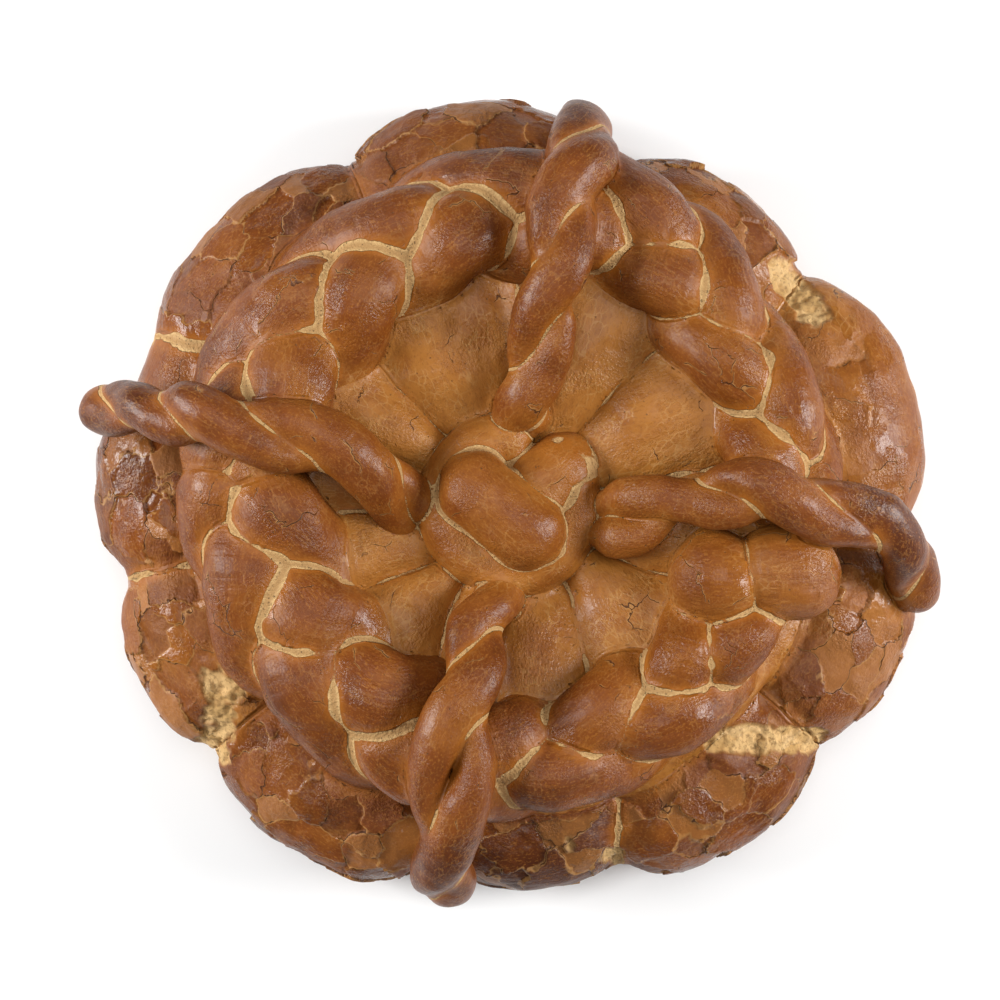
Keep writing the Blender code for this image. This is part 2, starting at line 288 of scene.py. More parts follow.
def enter(piece, mesh, browning_and_painted_light=0.0, flaking=0.0, opening=1.0):
    """Enters the strands of a mesh into the lattice as part of a piece of the loaf."""
    places = mesh_values(mesh, "co")
    strand = mesh_values(mesh, "strand")
    mesh.calc_loop_triangles()
    triangles = np.empty(len(mesh.loop_triangles) * 3, np.int32)
    mesh.loop_triangles.foreach_get("vertices", triangles)
    triangles = triangles.reshape(-1, 3)
    scale = openvdb.createLinearTransform(voxelSize=CELL)
    for number_of_strand in np.unique(strand):
        own = np.nonzero(strand == number_of_strand)[0]
        new_index = np.full(len(places), -1)
        new_index[own] = np.arange(len(own))
        faces = new_index[triangles[strand[triangles[:, 0]] == number_of_strand]].astype(np.uint32)
        grid = openvdb.FloatGrid.createLevelSetFromPolygons(
            np.ascontiguousarray(places[own]), triangles=faces, transform=scale, halfWidth=REACH / CELL)
        low, high = (np.array(corner) for corner in grid.evalActiveVoxelBoundingBox())
        low = np.maximum(low, lattice_low)
        high = np.minimum(high + 1, lattice_low + lattice_shape)
        distance = np.empty(high - low, np.float32)
        grid.copyToArray(distance, ijk=tuple(int(v) for v in low))
        spot = tuple(slice(a, b) for a, b in zip(low - lattice_low, high - lattice_low))
        closer = distance < nearest[spot]
        next_closest = ~closer & (distance < second[spot])
        rival[spot][closer] = owner[spot][closer]
        rival[spot][next_closest] = len(laid_strands)
        second[spot] = np.where(closer, nearest[spot], np.minimum(second[spot], distance))
        nearest[spot] = np.minimum(nearest[spot], distance)
        owner[spot][closer] = len(laid_strands)
        first_of_ring = own[np.abs(mesh_values(mesh, "angle")[own]) < 1e-4]
        laid_strands.append({
            "middle": mesh_values(mesh, "middle", 3)[first_of_ring],
            "ahead": mesh_values(mesh, "ahead", 3)[first_of_ring],
            "across": mesh_values(mesh, "across", 3)[first_of_ring],
            "lift": mesh_values(mesh, "lift", 3)[first_of_ring],
            "along": mesh_values(mesh, "along")[first_of_ring],
            "piece": piece, "browning_and_painted_light": browning_and_painted_light, "flaking": flaking, "opening": opening,
        })
        pieces.setdefault(piece, []).append((low - lattice_low, distance))


# ---- Rim lobes -----------------------------------------------------------------------------------------------------
# Eleven fat lobes of dough at the rim that bulge over the tray, the tallest with cracked and flaking skin. They are
# the ends of the base strands, laid side by side in a ring, and baked flat underneath.

LOBE_DEPTH = 0.046                  # half of a lobe's width along the radius
LOBE_MIDDLE_HEIGHT = 0.027
LOBE_RISE = 0.037
# azimuth, degrees it fills, reach from the centre, browning, flaking, side of the rim it belongs to
RIM_LOBES = (
    (97, 34, 0.207, 0.13, 0.9, "north"), (137, 42, 0.208, 0.12, 0.8, "west"), (159, 15, 0.200, 0.08, 0.4, "west"),
    (177, 25, 0.212, 0.16, 0.9, "west"), (205, 28, 0.209, 0.02, 1.0, "west"), (237, 36, 0.208, 0.12, 0.6, "south"),
    (275, 30, 0.197, 0.36, 0.7, "south"), (306, 34, 0.210, 0.14, 1.0, "south"), (338, 29, 0.214, 0.00, 1.0, "east"),
    (15, 40, 0.214, -0.12, 0.4, "east"), (54, 34, 0.199, 0.05, 0.7, "north"),
)

for azimuth, fill, reach, browning_and_painted_light, flaking, side in RIM_LOBES:
    half_fill = fill / 2 + 5
    turns = np.linspace(-half_fill, half_fill, 7)
    line = flowing_line([on_circle(azimuth + t, reach - LOBE_DEPTH, LOBE_MIDDLE_HEIGHT) for t in turns])[:, :3]
    half_length = math.radians(half_fill) * (reach - LOBE_DEPTH)
    full = rounded_ends(line, 0.85 * half_length, 0.85 * half_length)
    lobe = lay_strands(line, LOBE_DEPTH * full, LOBE_RISE * full**0.7, (LOBE_MIDDLE_HEIGHT + 0.004) * full**0.3,
                       squareness=3.2, sides=72)
    enter("rim_" + side, lobe, browning_and_painted_light, flaking, 1.2)


# ---- Petals --------------------------------------------------------------------------------------------------------
# The upper sides of the base strands, plump wedges that run from the knot out under the braids. Sheltered by the
# braids they bake the lightest, golden and nearly smooth; their colour is made lighter still as painted light against
# the shade that braids and ropes cast on them, most on the petal at 67 degrees.

PETAL_REACH = (0.028, 0.150)
PETAL_HEIGHTS = (0.034, 0.051, 0.059, 0.057, 0.046)
PETAL_RISE = 0.0225
# azimuth and degrees filled near the knot, the same under the braids, browning (lowered as painted light against
# the shade of braids and ropes), side of the loaf it belongs to
PETALS = (
    (28, 38, 28, 37, -0.15, "east"), (67, 41, 67, 41, -0.36, "north"), (111, 46, 111, 46, -0.23, "north"),
    (147, 27, 147, 27, -0.20, "west"), (172, 25, 171, 24, -0.20, "west"), (202, 36, 196, 26, -0.24, "west"),
    (228, 17, 228, 38, -0.18, "south"), (249, 26, 256, 18, -0.16, "south"), (287, 50, 280, 26, -0.16, "south"),
    (321, 19, 316, 44, -0.12, "south"), (350, 40, 354, 32, -0.14, "east"),
)

for azimuth, fill, outer_azimuth, outer_fill, browning_and_painted_light, side in PETALS:
    radii = np.linspace(*PETAL_REACH, 5)
    share = np.clip((radii - 0.040) / 0.050, 0, 1)
    azimuths = azimuth + (outer_azimuth - azimuth) * share
    line = flowing_line([on_circle(*place) for place in zip(azimuths, radii, PETAL_HEIGHTS)])[:, :3]
    radius = np.hypot(line[:, 0] + OUTLINE_CENTRE[0], line[:, 1] + OUTLINE_CENTRE[1])
    full = rounded_ends(line, 0.014, 0.020)
    fills = fill + (outer_fill - fill) * np.clip((radius - 0.040) / 0.050, 0, 1)
    half_width = 1.28 * radius * np.tan(np.radians(fills / 2))
    petal = lay_strands(line, half_width * full, PETAL_RISE * full**0.6, (PETAL_RISE + 0.012) * full**0.6, sides=48)
    enter("petals_" + side, petal, browning_and_painted_light, 0.25, 0.7)

# The dough between the lobes, out of sight under everything, closes the base in the middle.
middle_line = flowing_line([(-0.150, 0, 0.020), (-0.075, 0, 0.020), (0, 0, 0.020), (0.075, 0, 0.020),
                            (0.150, 0, 0.020)])[:, :3]
full = rounded_ends(middle_line, 0.150, 0.150)
enter("base_middle", lay_strands(middle_line, 0.150 * full, 0.036 * full**0.5, 0.024), -0.16, 0.0)


# ---- Braids --------------------------------------------------------------------------------------------------------
# Four three-strand braids lie in a ring on the base. Each strand crosses over the last one on its way inwards, and
# shows as a plump pillow between pale seams where the dough stretched in the oven after it was glazed.

BRAID_HEIGHT = 0.077
BRAID_BOUNCE = 0.0085
BRAID_STRAND_RISE = 0.0155
# One row for every place where two seams meet, alternately on the inner and the outer side: azimuth, radius of the
# middle line and half width there. Before them, whether the first row is on the outer side and how far the braid leans.
BRAIDS = {
    "north_west": (True, -0.004, (
        (177, 0.128, 0.036), (164, 0.129, 0.037), (151.7, 0.130, 0.037), (137.1, 0.131, 0.036),
        (125.9, 0.133, 0.033), (112, 0.135, 0.032), (101.1, 0.139, 0.033), (88, 0.143, 0.033), (77, 0.144, 0.033),
    )),
    "north_east": (False, -0.002, (
        (86, 0.146, 0.033), (75, 0.145, 0.033), (64.9, 0.144, 0.0325), (54.1, 0.140, 0.031), (44.4, 0.134, 0.029),
        (32.9, 0.131, 0.028), (19.5, 0.133, 0.029), (8.3, 0.131, 0.030), (-4, 0.128, 0.030),
    )),
    "south_east": (True, 0.0, (
        (-20, 0.120, 0.028), (-31.2, 0.118, 0.028), (-42.3, 0.118, 0.029), (-53.9, 0.117, 0.031),
        (-67.3, 0.117, 0.032), (-82.2, 0.121, 0.031), (-92, 0.122, 0.031), (-104, 0.124, 0.031),
    )),
    "south_west": (True, -0.002, (
        (260, 0.120, 0.036), (247.7, 0.119, 0.036), (235.9, 0.119, 0.037), (219.6, 0.118, 0.037),
        (209, 0.120, 0.038), (194.8, 0.119, 0.038), (183.1, 0.122, 0.039), (170.3, 0.126, 0.038),
    )),
}

for name, (outer_first, lean, corners) in BRAIDS.items():
    azimuths, radii, half_widths = np.transpose(corners)
    line = flowing_line([on_circle(a, r, BRAID_HEIGHT) for a, r in zip(azimuths, radii)])
    half_width = np.interp(line[:, 3], np.arange(len(corners)), half_widths)
    full = rounded_ends(line, 0.02, 0.02)
    turn = 0.75 + (line[:, 3] + outer_first) / 3
    braid = lay_strands(line[:, :3], 0.55 * half_width * full, BRAID_STRAND_RISE * full, turn=turn,
                        sway=-0.53 * half_width, strands=3, bounce=BRAID_BOUNCE, swell=0.08, lean=lean, skew=0.5)
    enter("braid_" + name, braid, 0.13, 0.36)

# The south-east braid starts under a short fat roll of dough, pinched in the middle.
ROLL = (((0.076, -0.035, 0.079), (0.098, -0.035, 0.084), (0.121, -0.033, 0.081)),
        ((0.106, -0.031, 0.080), (0.132, -0.032, 0.084), (0.158, -0.030, 0.077)))
for points in ROLL:
    half = flowing_line(points)[:, :3]
    full = rounded_ends(half, 0.024, 0.024)
    enter("braid_south_east", lay_strands(half, 0.0235 * full, 0.0205 * full), -0.02, 0.42, 0.6)


# ---- Ropes ---------------------------------------------------------------------------------------------------------
# Four ropes of two thin strands, twisted round each other and laid from the knot over the braids. Standing highest
# they bake the darkest. Their ends hang over the rim.

# one row for every place that shapes a rope, from the knot outwards: half turns made (at a whole number one strand
# lies on top of the other), x, y and height of the middle line, each strand's distance from it and half its width
ROPES = {
    "north": (
        (-0.55, 0.004, 0.037, 0.066, 0.0070, 0.0085), (0, 0.0086, 0.0547, 0.081, 0.0075, 0.0092),
        (1, 0.0201, 0.1044, 0.104, 0.0078, 0.0084), (2, 0.0279, 0.1520, 0.101, 0.0078, 0.0110),
        (2.7, 0.0350, 0.175, 0.083, 0.0065, 0.0100), (3.1, 0.0375, 0.1865, 0.060, 0.0045, 0.0100),
    ),
    "west": (
        (-0.65, -0.0440, -0.0090, 0.066, 0.0060, 0.0085), (0, -0.0735, 0.0225, 0.093, 0.0072, 0.0106),
        (1, -0.1380, 0.0395, 0.106, 0.0072, 0.0094), (2, -0.1685, 0.0435, 0.094, 0.0062, 0.0084),
        (3, -0.2050, 0.0505, 0.062, 0.0050, 0.0094),
    ),
    "south": (
        (-0.6, -0.0020, -0.0370, 0.064, 0.0035, 0.0085), (0, -0.0126, -0.0528, 0.082, 0.0060, 0.0086),
        (1, -0.0199, -0.0874, 0.103, 0.0080, 0.0094), (1.5, -0.0280, -0.1250, 0.104, 0.0112, 0.0100),
        (2, -0.0318, -0.1650, 0.084, 0.0075, 0.0102), (3, -0.0325, -0.1920, 0.046, 0.0040, 0.0106),
    ),
    "east": (
        (-0.8, 0.0410, -0.0080, 0.071, 0.0095, 0.0088), (-0.45, 0.0600, -0.0045, 0.083, 0.0095, 0.0088),
        (0, 0.0823, 0.0025, 0.092, 0.0080, 0.0080), (1, 0.1258, 0.0041, 0.106, 0.0078, 0.0094),
        (2, 0.1860, -0.0160, 0.084, 0.0060, 0.0086), (3, 0.2010, -0.0490, 0.046, 0.0040, 0.0092),
    ),
}

for name, bends in ROPES.items():
    half_turns, *places, sways, half_widths = np.transpose(bends)
    line = flowing_line(np.transpose((*places, sways, half_widths, half_turns)))
    half_width = line[:, 4] * rounded_ends(line, 0.012, 0.012)
    together = line[:, 3] * rounded_ends(line, 0.012, 0.022)
    rope = lay_strands(line[:, :3], half_width, half_width, turn=line[:, 5], sway=together,
                       strands=2, twisted=True, swell=0.36, flatness=0.65)
    enter("rope_" + name, rope, 0.15, 0.1, 0.45)


# ---- Knot ----------------------------------------------------------------------------------------------------------
# A short strand coiled once in the middle, over the inner ends of everything. One end is tucked under, the other lies
# on top as an oval bun.

KNOT_HEIGHT = 0.067
KNOT_COIL = (0.031, 0.0140, 0.0130)  # radius of the coil, half width and half thickness of its strand
# points of the middle line, half width and half thickness of the two parts that lie on the coil
KNOT_BUNS = (
    (((-0.004, -0.006, 0.068), (0.016, 0.010, 0.072), (0.038, 0.029, 0.062)), 0.0165, 0.0140),
    (((-0.0300, 0.0188, 0.079), (-0.0043, -0.0030, 0.084), (0.0214, -0.0248, 0.079)), 0.0187, 0.0160),
)

coil_radius, half_width, half_rise = KNOT_COIL
coil = flowing_line([on_circle(a, coil_radius, KNOT_HEIGHT) for a in np.linspace(-290, 62, 15)])[:, :3]
full = rounded_ends(coil, 0.012, 0.012)
enter("knot", lay_strands(coil, half_width * full, half_rise * full), -0.02, 0.1, 1.0)
for points, half_width, half_rise in KNOT_BUNS:
    bun = flowing_line(points)[:, :3]
    full = rounded_ends(bun, 0.018, 0.018)
    enter("knot", lay_strands(bun, half_width * full, half_rise * full), 0.03, 0.2, 1.0)


# ---- Skin ----------------------------------------------------------------------------------------------------------
# Baking closes one skin over the strands. Each piece of the loaf gets its own closed skin, which meets the next one
# in the seam. Dough never keeps a clean shape, so the skin is uneven, and on the fattest lobes it flakes in plates.

HIDDEN = {"base_middle": 4}         # pieces out of sight, closed with a coarser skin of this many lattice steps
PLATE_SIZE = 0.0205                 # plates of cracked skin
UNEVENNESS = 0.006                  # how far the dough drifts from its clean shape
# places where the dough tore open in the oven: both ends of the tear and its half width
TEARS = (
    ((0.136, 0.111, 0.046), (0.149, 0.090, 0.040), 0.010), ((-0.143, -0.094, 0.045), (-0.149, -0.124, 0.030), 0.013),
    ((0.102, -0.1190, 0.058), (0.150, -0.1215, 0.042), 0.0085), ((0.030, -0.172, 0.040), (0.052, -0.180, 0.034), 0.0070),
)


def read_lattice(values, where):
    """Values of the lattice at places given in lattice steps, blended between the eight cells around each."""
    base = np.clip(np.floor(where).astype(int), 0, np.array(values.shape) - 2)
    part = np.clip(where - base, 0, 1)
    total = np.zeros(len(where), np.float32)
    for corner in range(8):
        bits = np.array(((corner >> 2) & 1, (corner >> 1) & 1, corner & 1))
        weight = np.prod(np.where(bits, part, 1 - part), axis=1)
        total += weight * values[tuple((base + bits).T)]
    return total


def close_skin(name):
    """The closed skin of one piece, as points in lattice steps and four-sided faces."""
    low = np.min([start for start, _ in pieces[name]], axis=0)
    high = np.max([start + distance.shape for start, distance in pieces[name]], axis=0)
    own = np.full(high - low, REACH, np.float32)
    for start, distance in pieces[name]:
        spot = tuple(slice(a, a + n) for a, n in zip(start - low, distance.shape))
        own[spot] = np.minimum(own[spot], distance)
    spot = tuple(slice(a, b) for a, b in zip(low, high))
    other = np.where(own <= nearest[spot], second[spot], nearest[spot])
    closeness = np.clip(1 - np.abs(other - own) / SEAM_FILLET, 0, 1)
    body = own - SEAM_FILLET / 4 * closeness**2
    height = (np.arange(low[2], high[2]) + lattice_low[2]) * CELL
    body = np.maximum(body, -height.astype(np.float32))
    step = HIDDEN.get(name, 1)
    grid = openvdb.FloatGrid(REACH)
    grid.copyFromArray(np.ascontiguousarray(body[::step, ::step, -low[2] - lattice_low[2] & (step - 1)::step]))
    points, faces = grid.convertToQuads(0.0)
    start = np.array((0, 0, -low[2] - lattice_low[2] & (step - 1)))
    return points * step + start + low, faces


def rolled_coordinates(places, owners):
    """For each place: how far along its strand, across it and above its middle."""
    result = np.zeros((len(places), 3), np.float32)
    for index in np.unique(owners):
        strand = laid_strands[index]
        own = np.nonzero(owners == index)[0]
        for part in np.array_split(own, max(1, len(own) // 20000)):
            gap = places[part, None, :] - strand["middle"][None, :, :]
            ring = np.argmin(np.einsum("ijk,ijk->ij", gap, gap), axis=1)
            away = places[part] - strand["middle"][ring]
            result[part, 0] = strand["along"][ring] + np.einsum("ij,ij->i", away, strand["ahead"][ring]) + 0.37 * index
            result[part, 1] = np.einsum("ij,ij->i", away, strand["across"][ring])
            result[part, 2] = np.einsum("ij,ij->i", away, strand["lift"][ring])
    return result


def add_values(mesh, name, values):
    """Stores one number or one vector for each point of a mesh."""
    if values.ndim == 2:
        mesh.attributes.new(name, "FLOAT_VECTOR", "POINT").data.foreach_set("vector", values.astype(np.float32).ravel())
    else:
        mesh.attributes.new(name, "FLOAT", "POINT").data.foreach_set("value", values.astype(np.float32))


def carried(tree, name, kind="FLOAT"):
    """Reads a value of the skin, in the relief or in the material."""
    if tree.type == "GEOMETRY":
        return stored(tree, name, kind)
    node = join(tree, "ShaderNodeAttribute", attribute_name=name)
    return node.outputs["Fac" if kind == "FLOAT" else "Vector"]


def ease(tree, value, low, high, start=0.0, end=1.0):
    """Passes smoothly from start to end while the value passes from low to high."""
    given = {"Value": value, "From Min": low, "From Max": high, "To Min": start, "To Max": end}
    return join(tree, "ShaderNodeMapRange", given, interpolation_type="SMOOTHSTEP").outputs["Result"]


def clouds(tree, where, size, detail=2.0, roughness=0.5):
    """Cloudy values around one half, with clouds of the given size. The second output is a cloudy vector."""
    return join(tree, "ShaderNodeTexNoise", {"Vector": where, "Scale": 1 / size, "Detail": detail,
                                             "Roughness": roughness}).outputs


def cells(tree, where, size, feature="F1"):
    """Cells of the given size around scattered points."""
    return join(tree, "ShaderNodeTexVoronoi", {"Vector": where, "Scale": 1 / size}, feature=feature).outputs


def dot(tree, first, other):
    return join(tree, "ShaderNodeVectorMath", {0: first, 1: other}, operation="DOT_PRODUCT").outputs["Value"]


def skin_plates(tree):
    """Plates of cracked skin: lift, distance from the nearest edge, and three random values of each plate."""
    rolled = carried(tree, "rolled", "FLOAT_VECTOR")
    wobble = vector(tree, "SUBTRACT", clouds(tree, rolled, 0.011)[1], (0.5, 0.5, 0.5))
    where = vector(tree, "ADD", rolled, vector(tree, "SCALE", wobble, 0.012))
    plate = cells(tree, where, PLATE_SIZE)
    edge = number(tree, "MULTIPLY", cells(tree, where, PLATE_SIZE, "DISTANCE_TO_EDGE")["Distance"], PLATE_SIZE)
    slant = vector(tree, "SUBTRACT", plate["Color"], (0.5, 0.5, 0.5))
    lift = dot(tree, vector(tree, "SUBTRACT", where, plate["Position"]), slant)
    tones = join(tree, "ShaderNodeSeparateXYZ", {0: plate["Color"]}).outputs
    return lift, edge, tones


def distance_from_tears(tree, place):
    """How much the dough is torn at a place, 0 to 1."""
    torn = None
    ragged = number(tree, "SUBTRACT", clouds(tree, place, 0.009)[0], 0.5)
    for start, end, half_width in TEARS:
        run = Vector(end) - Vector(start)
        along = dot(tree, vector(tree, "SUBTRACT", place, start), tuple(run))
        along = number(tree, "DIVIDE", along, run.length_squared)
        along = join(tree, "ShaderNodeClamp", {"Value": along}).outputs[0]
        run = join(tree, "ShaderNodeCombineXYZ", {"X": run.x, "Y": run.y, "Z": run.z}).outputs[0]
        point = vector(tree, "ADD", vector(tree, "SCALE", run, along), start)
        gap = vector(tree, "MULTIPLY", vector(tree, "SUBTRACT", place, point), (1.0, 1.0, 0.3))
        gap = join(tree, "ShaderNodeVectorMath", {0: gap}, operation="LENGTH").outputs["Value"]
        here = ease(tree, number(tree, "MULTIPLY_ADD", ragged, 1.1 * half_width, gap), half_width, 0.75 * half_width)
        torn = here if torn is None else number(tree, "MAXIMUM", torn, here)
    return torn


def baked_crust():
    """Geometry Nodes that give a smooth skin the uneven shape, the flakes and the tears of baked crust."""
    tree = bpy.data.node_groups.new("baked_crust", "GeometryNodeTree")
    tree.interface.new_socket(name="Skin", in_out="INPUT", socket_type="NodeSocketGeometry")
    names = {
        "unevenness": size_input(tree, "Unevenness", "NodeSocketFloat", 0.006),
        "dents": size_input(tree, "Depth of Dents", "NodeSocketFloat", 0.0020),
        "step": size_input(tree, "Step between Plates", "NodeSocketFloat", 0.0013),
        "slope": size_input(tree, "Slope of Plates", "NodeSocketFloat", 0.16),
        "tears": size_input(tree, "Depth of Tears", "NodeSocketFloat", 0.0030),
        "browning_and_painted_light": size_input(tree, "Browning", "NodeSocketFloat", 0.42),
        "opening": size_input(tree, "Opening of Seams", "NodeSocketFloat", 0.0026),
    }
    tree.interface.new_socket(name="Crust", in_out="OUTPUT", socket_type="NodeSocketGeometry")
    given = tree.nodes.new("NodeGroupInput").outputs
    place = tree.nodes.new("GeometryNodeInputPosition").outputs[0]
    height = join(tree, "ShaderNodeSeparateXYZ", {0: place}).outputs[2]
    free = ease(tree, height, 0.0015, 0.022)
    seam = carried(tree, "seam")
    rolled = carried(tree, "rolled", "FLOAT_VECTOR")

    # what the look of the crust needs at each point
    torn = distance_from_tears(tree, place)
    flaking = number(tree, "ADD", carried(tree, "flaking"), clouds(tree, rolled, 0.040)[0])
    cover = number(tree, "MULTIPLY", ease(tree, flaking, 1.02, 1.12), ease(tree, seam, 0.002, 0.006))
    wide = ease(tree, clouds(tree, place, 0.021)[0], 0.35, 0.66, 0.15, 1.1)
    wide = number(tree, "MULTIPLY", number(tree, "MULTIPLY", wide, carried(tree, "opening")), given["Opening of Seams"])
    brown = number(tree, "MULTIPLY_ADD", carried(tree, "browning_and_painted_light"), 1.3, given["Browning"])
    brown = number(tree, "ADD", brown, ease(tree, clouds(tree, place, 0.055)[0], 0.3, 0.7, -0.13, 0.13))
    brown = number(tree, "ADD", brown, ease(tree, clouds(tree, rolled, 0.014, 3.0)[0], 0.3, 0.7, -0.11, 0.11))
    brown = number(tree, "SUBTRACT", brown, ease(tree, number(tree, "SUBTRACT", seam, wide), 0.0100, 0.0005, 0.0, 0.20))
    flat_place = vector(tree, "MULTIPLY", place, (1.0, 1.0, 0.0))
    reach = join(tree, "ShaderNodeVectorMath", {0: flat_place}, operation="LENGTH").outputs["Value"]
    brown = number(tree, "ADD", brown, ease(tree, reach, 0.110, 0.165, -0.04, 0.09))
    brown = number(tree, "ADD", brown, ease(tree, reach, 0.165, 0.210, 0.0, 0.13))
    proud = number(tree, "MULTIPLY", ease(tree, reach, 0.150, 0.190), ease(tree, height, 0.062, 0.080, 0.0, 0.26))
    brown = number(tree, "ADD", brown, proud)
    # Darker the higher the skin stands: partly browning of the tops, partly painted shade on them.
    brown = number(tree, "ADD", brown, ease(tree, height, 0.055, 0.115, -0.06, 0.08))
    wrinkled = ease(tree, clouds(tree, rolled, 0.017)[0], 0.42, 0.60)
    crazing = ease(tree, clouds(tree, rolled, 0.013)[0], 0.44, 0.60)
    faceted = ease(tree, carried(tree, "flaking"), 0.05, 0.6)
    cracked = number(tree, "ADD", clouds(tree, rolled, 0.019)[0], number(tree, "MULTIPLY", carried(tree, "flaking"), 0.13))
    cracked = number(tree, "MULTIPLY", ease(tree, cracked, 0.615, 0.645), ease(tree, seam, 0.003, 0.005))
    skin = given["Skin"]
    for name, value in (("torn", torn), ("cover", cover), ("wide", wide), ("brown", brown), ("wrinkled", wrinkled),
                        ("crazing", crazing), ("faceted", faceted), ("cracked", cracked)):
        skin = with_value(tree, skin, name, value)

    # relief along the normal, and a slow drift of everything in all directions
    lift, edge, tones = skin_plates(tree)
    step = number(tree, "MULTIPLY", number(tree, "SUBTRACT", tones[1], 1.0), given["Step between Plates"])
    plates = number(tree, "MULTIPLY", cover, number(tree, "MULTIPLY_ADD", lift, given["Slope of Plates"], step))
    pits = ease(tree, clouds(tree, place, 0.0050)[0], 0.35, 0.62, 1.0, 0.35)
    tears = number(tree, "MULTIPLY", number(tree, "MULTIPLY", torn, given["Depth of Tears"]), pits)
    dents = number(tree, "SUBTRACT", clouds(tree, place, 0.016, 1.0)[0], 0.5)
    outwards = number(tree, "MULTIPLY_ADD", dents, given["Depth of Dents"], number(tree, "SUBTRACT", plates, tears))
    normal = vector(tree, "SCALE", tree.nodes.new("GeometryNodeInputNormal").outputs[0],
                    number(tree, "MULTIPLY", outwards, free))
    drift = vector(tree, "SUBTRACT", clouds(tree, place, 0.038, 1.0)[1], (0.5, 0.5, 0.5))
    drift = vector(tree, "SCALE", drift, number(tree, "MULTIPLY", given["Unevenness"], free))
    skin = join(tree, "GeometryNodeSetPosition", {"Geometry": skin, "Offset": vector(tree, "ADD", drift, normal)})
    skin = join(tree, "GeometryNodeRealizeInstances", {"Geometry": skin.outputs[0]}).outputs[0]
    skin = join(tree, "GeometryNodeSetMaterial", {"Geometry": skin, "Material": crust}).outputs[0]
    tree.links.new(skin, tree.nodes.new("NodeGroupOutput").inputs[0])
    return tree, names


def merge_flat_bottom(mesh):
    """Joins the many small faces on which the loaf stands into a few large ones."""
    body = bmesh.new()
    body.from_mesh(mesh)
    flat = [v for v in body.verts if v.co.z < 1e-4]
    for vertex in flat:
        vertex.co.z = 0.0
    standing = {v for v in flat if all(abs(f.normal.z) > 0.99 for f in v.link_faces)}
    inner = [v for v in standing if all(e.other_vert(v).co.z < 1e-4 for e in v.link_edges)]
    edges = list({e for v in inner for e in v.link_edges})
    bmesh.ops.dissolve_limit(body, angle_limit=0.03, use_dissolve_boundaries=False, verts=inner, edges=edges)
    body.to_mesh(mesh)
    body.free()


crust_tree, crust_inputs = baked_crust()
kept_values = {key: np.array([strand[key] for strand in laid_strands]) for key in ("browning_and_painted_light", "flaking", "opening")}
piece_names = np.array([strand["piece"] for strand in laid_strands])
around_knot = np.array([name.startswith(("knot", "petals", "rope")) for name in piece_names])

for name in pieces:
    steps, faces = close_skin(name)
    places = ((steps + lattice_low) * CELL).astype(np.float32)
    mesh = bpy.data.meshes.new(name)
    mesh.from_pydata(places, [], faces)
    spot = tuple(np.clip(np.rint(steps).astype(int), 0, lattice_shape - 1).T)
    owners, rivals = owner[spot], rival[spot]
    add_values(mesh, "seam", read_lattice(second, steps) - read_lattice(nearest, steps))
    add_values(mesh, "rolled", rolled_coordinates(places, owners))
    for key in ("browning_and_painted_light", "flaking"):
        add_values(mesh, key, kept_values[key][owners])
    same = piece_names[owners] == piece_names[rivals]
    open_too = around_knot[owners] & around_knot[rivals]
    add_values(mesh, "opening", kept_values["opening"][owners] * np.where(same, 1.0, np.where(open_too, 0.5, 0.06)))
    mesh.polygons.foreach_set("use_smooth", np.ones(len(mesh.polygons), bool))
    skin = bpy.data.objects.new(name, mesh)
    bpy.context.scene.collection.objects.link(skin)
    baking = skin.modifiers.new("baked_crust", "NODES")
    baking.node_group = crust_tree
    baking[crust_inputs["unevenness"]] = UNEVENNESS
    skin.data = bpy.data.meshes.new_from_object(skin.evaluated_get(bpy.context.evaluated_depsgraph_get()))
    skin.modifiers.clear()
    bpy.data.meshes.remove(mesh)
    merge_flat_bottom(skin.data)
    skin.data.name = name
    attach(skin, "root")
    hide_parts("loaf")
    print("skin", name, len(skin.data.vertices), sum(len(p.vertices) - 2 for p in skin.data.polygons))


# ---- Crust ---------------------------------------------------------------------------------------------------------
# Crust glazed with egg before baking: brown, darker on top partly as painted shade, golden where sheltered partly as
# painted light, and cream in the seams where the dough stretched after glazing, darker deep in each crease partly as
# painted shade. Fine bubbles and streaks follow the rolling; old skin is crazed, cracked and flaking.

# colours as red, green and blue shares of the light they throw back
LIGHT_GOLD = (0.37, 0.145, 0.026)
GOLD = (0.270, 0.088, 0.012)
CHESTNUT = (0.180, 0.047, 0.007)
DARK_BROWN = (0.080, 0.019, 0.004)
SEAM_EDGE = (0.33, 0.105, 0.012)
SEAM_CREAM = (0.60, 0.385, 0.165)
# colour deep in a seam's crease: partly darker crumb skin, partly painted shade of the crease
SEAM_DEEP_AND_SHADE = (0.40, 0.225, 0.085)
CRUMB = (0.50, 0.30, 0.11)
DRY_SKIN = (0.33, 0.140, 0.038)
CRACK = (0.080, 0.024, 0.008)
CRAZED = (0.48, 0.25, 0.080)


def colour(tree, value, *stops):
    """Colour that passes through the given stops, each a value and a colour."""
    node = join(tree, "ShaderNodeValToRGB", {0: value})
    elements = node.color_ramp.elements
    while len(elements) < len(stops):
        elements.new(0.5)
    for element, (position, shade) in zip(elements, stops):
        element.position = position
        element.color = (*shade, 1)
    return node.outputs[0]


def mixed(tree, share, first, other, blend="MIX"):
    """The first colour with a share of the other."""
    given = {0: share}
    for key, shade in ((6, first), (7, other)):
        given[key] = (*shade, 1) if isinstance(shade, tuple) else shade
    return join(tree, "ShaderNodeMix", given, data_type="RGBA", blend_type=blend).outputs[2]


